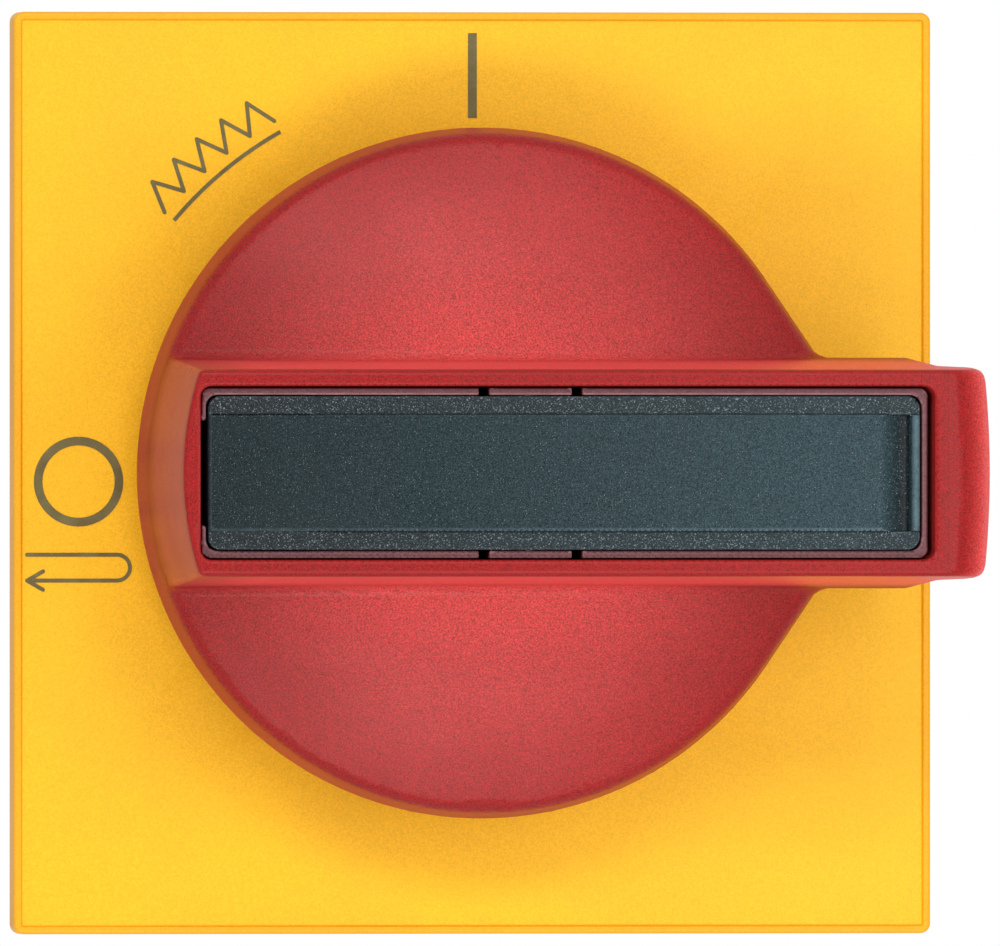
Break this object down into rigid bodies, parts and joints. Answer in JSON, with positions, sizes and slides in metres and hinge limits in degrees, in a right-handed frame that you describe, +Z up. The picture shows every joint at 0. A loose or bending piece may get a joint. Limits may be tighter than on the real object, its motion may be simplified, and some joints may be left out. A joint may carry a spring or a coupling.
{
  "type": "rotary isolator switch",
  "caption": "Panel-mounted rotary isolator with a red lever handle, a padlock bar in its grip, a square yellow masking plate and stacked contact decks.",
  "frame": {"origin": "on the handle's axis, at the front face of the door that the switch is clamped to", "axes": "+X to the right and +Z up as seen from the front, -Y out of the front along the handle's axis"},
  "size_m": [0.0769, 0.0937, 0.075],
  "materials": {
    "yellow_plastic": "fine spark-eroded grain",
    "mark_ink": "pad printed",
    "dark_bearing_plastic": "moulded",
    "gasket_rubber": "closed-cell",
    "zinc_steel": "zinc plated",
    "spring_steel": "drawn wire",
    "red_plastic": "fine spark-eroded grain",
    "liner_plastic": "moulded",
    "slate_plastic": "coarse spark-eroded grain",
    "zinc_casting": "die cast",
    "latch_plastic": "moulded",
    "ivory_plastic": "moulded",
    "deck_plastic": "moulded, glass filled",
    "contact_copper": "tinned copper edge"
  },
  "bodies": {
    "base": {"masking_plate": "yellow_plastic", "scale_marks": "mark_ink", "bearing_plate": "dark_bearing_plastic", "door_gasket": "gasket_rubber", "door_screws": "zinc_steel", "clamp_nuts": "zinc_steel", "shaft_seal": "gasket_rubber", "latch_housing": "latch_plastic", "detent_spring_left": "spring_steel", "detent_spring_right": "spring_steel", "stop_plate": "zinc_steel", "rear_cover": "deck_plastic", "tie_bolts": "zinc_steel", "tie_nuts": "zinc_steel", "deck_housing_1": "deck_plastic", "fixed_contacts_1": "contact_copper", "terminal_clamps_1": "zinc_steel", "terminal_screws_1": "zinc_steel", "deck_housing_2": "deck_plastic", "fixed_contacts_2": "contact_copper", "terminal_clamps_2": "zinc_steel", "terminal_screws_2": "zinc_steel", "deck_housing_3": "deck_plastic", "fixed_contacts_3": "contact_copper", "terminal_clamps_3": "zinc_steel", "terminal_screws_3": "zinc_steel"},
    "handle": {"handle_shell": "red_plastic", "grip_liner": "liner_plastic", "bar_pivot_pin": "zinc_steel", "lock_bolt_spring": "spring_steel", "handle_hub": "zinc_casting", "hub_screw": "zinc_steel", "square_shaft": "zinc_steel", "detent_wheel": "ivory_plastic", "contact_rotor_1": "ivory_plastic", "contact_rotor_2": "ivory_plastic", "contact_rotor_3": "ivory_plastic", "moving_contacts_1": "contact_copper", "moving_contacts_2": "contact_copper", "moving_contacts_3": "contact_copper"},
    "padlock_bar": {"padlock_bar": "slate_plastic"},
    "lock_bolt": {"lock_bolt": "zinc_steel"},
    "plunger_left": {"detent_plunger_left": "zinc_steel"},
    "plunger_right": {"detent_plunger_right": "zinc_steel"}
  },
  "joints": [
    {"name": "handle_turn", "type": "hinge", "parent": "base", "child": "handle", "pos_m": [0, 0, 0], "axis": [0, 1, 0], "range_deg": [0, 90]},
    {"name": "padlock_bar_swing", "type": "hinge", "parent": "handle", "child": "padlock_bar", "pos_m": [0.0017, -0.0284, 0], "axis": [0, 0, -1], "range_deg": [0, 28]},
    {"name": "lock_bolt_slide", "type": "slide", "parent": "handle", "child": "lock_bolt", "axis": [0, 1, 0], "range_m": [0, 0.00733], "stiffness_N_per_m": 150, "springref_m": -0.004, "deforming": ["lock_bolt_spring"]},
    {"name": "plunger_left_slide", "type": "slide", "parent": "base", "child": "plunger_left", "axis": [-1, 0, 0], "range_m": [0, 0.0008], "stiffness_N_per_m": 1500, "springref_m": -0.002, "deforming": ["detent_spring_left"]},
    {"name": "plunger_right_slide", "type": "slide", "parent": "base", "child": "plunger_right", "axis": [1, 0, 0], "range_m": [0, 0.0008], "stiffness_N_per_m": 1500, "springref_m": -0.002, "deforming": ["detent_spring_right"]}
  ],
  "couplings": [
    {"joint": "padlock_bar_swing", "follows": "lock_bolt_slide", "rad_per_m": 66.67}
  ]
}
